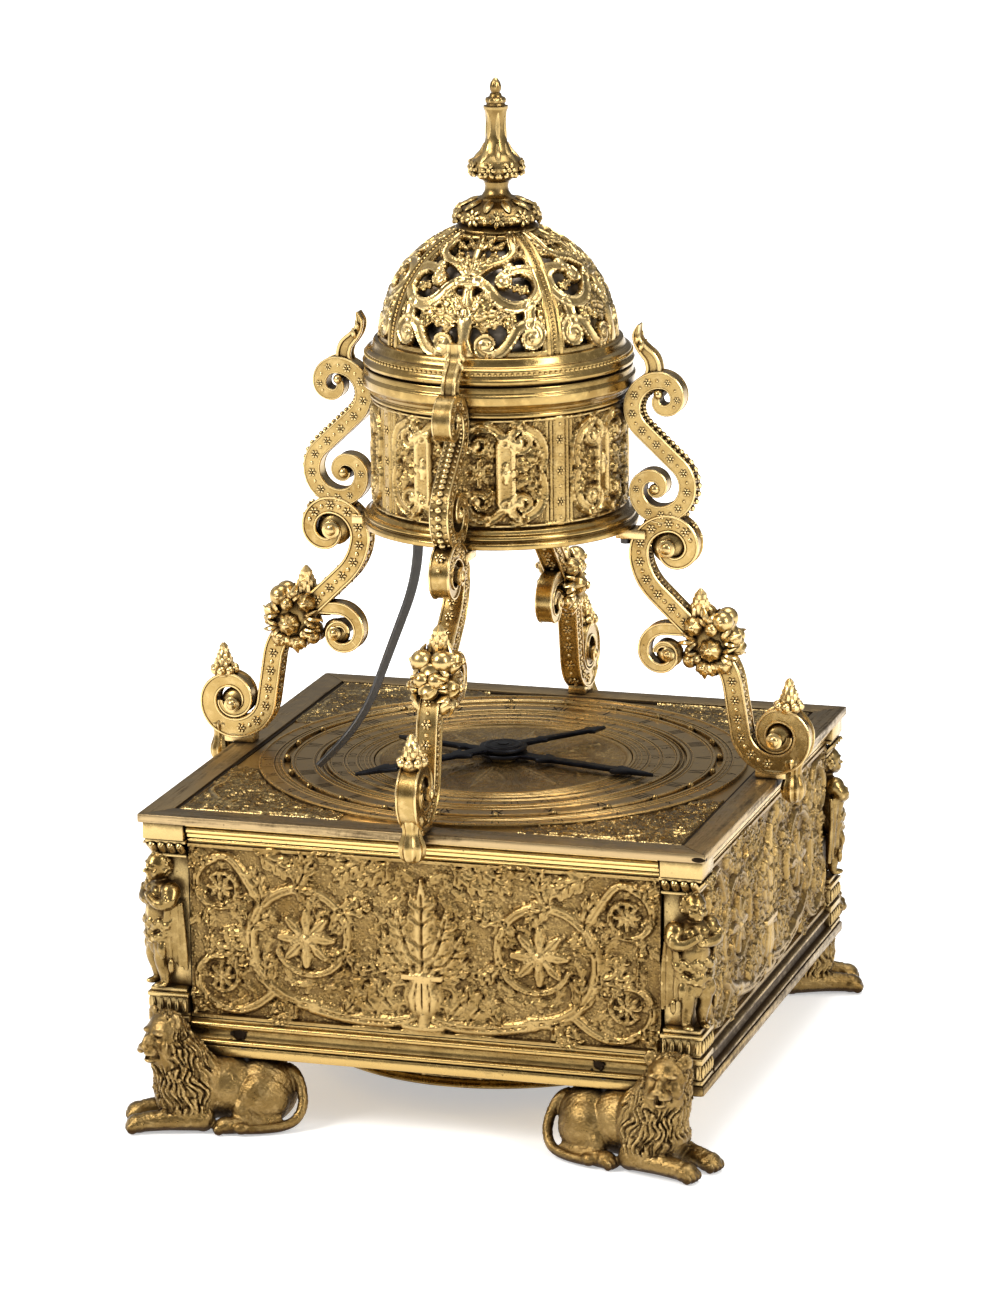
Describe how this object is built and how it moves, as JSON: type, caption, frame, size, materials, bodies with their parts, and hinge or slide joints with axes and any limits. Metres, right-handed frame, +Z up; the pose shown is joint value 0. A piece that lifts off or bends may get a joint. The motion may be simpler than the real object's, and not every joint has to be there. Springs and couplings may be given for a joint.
{
  "type": "drum table clock",
  "caption": "Gilt square table clock on lion feet with a horizontal dial, and a drum-shaped alarm under a pierced dome that stands over it on scrolled legs.",
  "frame": {"origin": "middle of the clock on the table it stands on", "axes": "+Z up, front of the clock towards -Y"},
  "size_m": [0.1678, 0.1786, 0.2627],
  "materials": {
    "gilt_brass": "fire-gilt, worn, dark in the recesses",
    "worn_gilt_brass": "worn gilding, brushed and browned",
    "movement_brass": "filed brass",
    "blackened_steel": "blue-black oxidised",
    "grey_steel": "dull grey",
    "bell_metal": "pale turned bell metal"
  },
  "bodies": {
    "case": {"base_frame": "gilt_brass", "bottom_plate": "movement_brass", "plinth_mouldings": "gilt_brass", "cornice_mouldings": "gilt_brass", "front_panel": "gilt_brass", "rear_panel": "gilt_brass", "left_panel": "gilt_brass", "right_panel": "gilt_brass", "corner_figures": "gilt_brass", "top_frame": "worn_gilt_brass", "dial_plate": "worn_gilt_brass", "outer_ring": "worn_gilt_brass", "hour_ring": "worn_gilt_brass", "calendar_ring": "worn_gilt_brass", "centre_disc": "worn_gilt_brass", "touch_studs": "gilt_brass", "lion_front_left": "gilt_brass", "lion_front_right": "gilt_brass", "lion_rear_left": "gilt_brass", "lion_rear_right": "gilt_brass", "foot_screws": "grey_steel", "bell_gallery": "gilt_brass", "strike_bell": "bell_metal", "pillars": "movement_brass", "upper_plate": "movement_brass", "potence": "movement_brass", "balance_bridge": "movement_brass"},
    "going_barrel": {"going_barrel": "movement_brass"},
    "second_wheel": {"second_wheel": "movement_brass"},
    "contrate_wheel": {"contrate_wheel": "movement_brass"},
    "crown_wheel": {"crown_wheel": "movement_brass"},
    "balance": {"verge": "grey_steel", "balance_wheel": "grey_steel"},
    "hour_hand": {"hour_wheel": "movement_brass", "hour_hand": "blackened_steel"},
    "moon_hand": {"moon_wheel": "movement_brass", "moon_hand": "blackened_steel"},
    "motion_arbor": {"motion_arbor": "grey_steel"},
    "strike_barrel": {"strike_barrel": "movement_brass"},
    "pin_wheel": {"pin_wheel": "movement_brass"},
    "strike_hammer": {"strike_hammer": "grey_steel"},
    "alarm_stand": {"drum_case": "gilt_brass", "drum_floor": "movement_brass", "alarm_plate": "movement_brass", "alarm_pillars": "movement_brass", "bell_post": "grey_steel", "alarm_bell": "bell_metal", "leg_front": "gilt_brass", "leg_right": "gilt_brass", "leg_rear": "gilt_brass", "leg_left": "gilt_brass", "upper_brackets": "gilt_brass", "leg_screws": "grey_steel"},
    "lid": {"dome_shell": "gilt_brass", "finial": "gilt_brass"},
    "alarm_barrel": {"alarm_barrel": "movement_brass"},
    "alarm_pin_wheel": {"alarm_pin_wheel": "movement_brass"},
    "alarm_hammer": {"alarm_hammer": "grey_steel"},
    "setting_disc": {"setting_disc": "movement_brass"},
    "trip_lever": {"trip_lever": "grey_steel"}
  },
  "joints": [
    {"name": "hour_hand_turn", "type": "hinge", "parent": "case", "child": "hour_hand", "pos_m": [0, 0, 0.07], "axis": [0, 0, 1], "continuous": true},
    {"name": "moon_hand_turn", "type": "hinge", "parent": "case", "child": "moon_hand", "pos_m": [0, 0, 0.073], "axis": [0, 0, 1], "continuous": true},
    {"name": "motion_arbor_turn", "type": "hinge", "parent": "case", "child": "motion_arbor", "pos_m": [-0.012, 0.02079, 0.07], "axis": [0, 0, 1], "continuous": true},
    {"name": "second_wheel_turn", "type": "hinge", "parent": "case", "child": "second_wheel", "pos_m": [-0.0135, -0.038, 0.053], "axis": [0, 0, 1], "continuous": true},
    {"name": "going_barrel_turn", "type": "hinge", "parent": "case", "child": "going_barrel", "pos_m": [-0.038, -0.038, 0.027], "axis": [0, 0, 1], "continuous": true},
    {"name": "contrate_wheel_turn", "type": "hinge", "parent": "case", "child": "contrate_wheel", "pos_m": [-0.00217, -0.02401, 0.034], "axis": [0, 0, 1], "continuous": true},
    {"name": "crown_wheel_turn", "type": "hinge", "parent": "case", "child": "crown_wheel", "pos_m": [0.01933, -0.02401, 0.0393], "axis": [1, 0, 0], "continuous": true},
    {"name": "balance_swing", "type": "hinge", "parent": "case", "child": "balance", "pos_m": [0.02653, -0.02401, 0.07], "axis": [0, 0, 1], "range_deg": [-35, 35]},
    {"name": "pin_wheel_turn", "type": "hinge", "parent": "case", "child": "pin_wheel", "pos_m": [0.0135, 0.038, 0.053], "axis": [0, 0, 1], "continuous": true},
    {"name": "strike_barrel_turn", "type": "hinge", "parent": "case", "child": "strike_barrel", "pos_m": [0.038, 0.038, 0.027], "axis": [0, 0, 1], "continuous": true},
    {"name": "strike_hammer_swing", "type": "hinge", "parent": "case", "child": "strike_hammer", "pos_m": [-0.02122, 0.03991, 0.03], "axis": [0, 0, 1], "range_deg": [0, 12]},
    {"name": "alarm_lift", "type": "slide", "parent": "case", "child": "alarm_stand", "axis": [0, 0, 1], "range_m": [0, 0.12]},
    {"name": "lid_lift", "type": "slide", "parent": "alarm_stand", "child": "lid", "axis": [0, 0, 1], "range_m": [0, 0.06]},
    {"name": "alarm_pin_wheel_turn", "type": "hinge", "parent": "alarm_stand", "child": "alarm_pin_wheel", "pos_m": [0.006, 0, 0.16], "axis": [0, 0, 1], "continuous": true},
    {"name": "alarm_barrel_turn", "type": "hinge", "parent": "alarm_stand", "child": "alarm_barrel", "pos_m": [-0.012, 0, 0.156], "axis": [0, 0, 1], "continuous": true},
    {"name": "alarm_hammer_swing", "type": "hinge", "parent": "alarm_stand", "child": "alarm_hammer", "pos_m": [0.01047, -0.0134, 0.16], "axis": [0, 0, 1], "range_deg": [0, 40]},
    {"name": "alarm_set_turn", "type": "hinge", "parent": "alarm_stand", "child": "setting_disc", "pos_m": [0, 0, 0.148], "axis": [0, 0, 1], "continuous": true},
    {"name": "lever_trip", "type": "hinge", "parent": "setting_disc", "child": "trip_lever", "pos_m": [-0.01879, -0.01201, 0.1446], "axis": [-0.8425, -0.5388, 0], "range_deg": [-6, 6]}
  ],
  "couplings": [
    {"joint": "moon_hand_turn", "follows": "hour_hand_turn", "ratio": 0.9661},
    {"joint": "motion_arbor_turn", "follows": "hour_hand_turn", "ratio": -4.75},
    {"joint": "going_barrel_turn", "follows": "second_wheel_turn", "ratio": -0.16667},
    {"joint": "contrate_wheel_turn", "follows": "second_wheel_turn", "ratio": -4},
    {"joint": "crown_wheel_turn", "follows": "second_wheel_turn", "ratio": -16},
    {"joint": "strike_barrel_turn", "follows": "pin_wheel_turn", "ratio": -0.16667},
    {"joint": "alarm_pin_wheel_turn", "follows": "alarm_barrel_turn", "ratio": -4}
  ]
}
